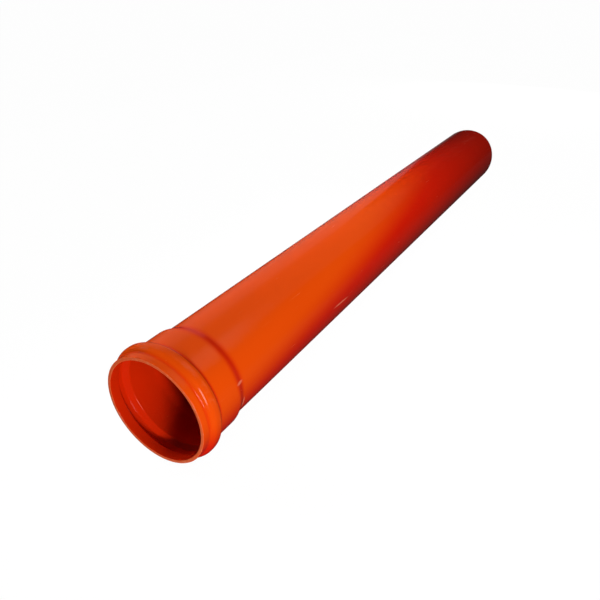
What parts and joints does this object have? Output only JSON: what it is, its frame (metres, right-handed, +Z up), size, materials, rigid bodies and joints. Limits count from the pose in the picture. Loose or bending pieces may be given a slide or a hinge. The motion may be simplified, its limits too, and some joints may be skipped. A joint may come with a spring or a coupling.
{
  "type": "pvc sewer pipe",
  "caption": "Straight orange-brown plastic drain pipe with a flared ring-seal socket at one end and a chamfered plain end, for buried gravity sewers.",
  "frame": {"origin": "on the level of the bead's lowest line, under the pipe's axis, half-way between the socket mouth and the spigot end", "axes": "+X along the pipe's axis from the socket mouth to the spigot end, +Z up, +Y to the left when looking from the mouth along the pipe"},
  "size_m": [1, 0.127, 0.127],
  "materials": {
    "pvc": "extruded unplasticised PVC, orange-brown all through, glossy"
  },
  "bodies": {
    "root": {"pipe": "pvc"}
  },
  "joints": []
}
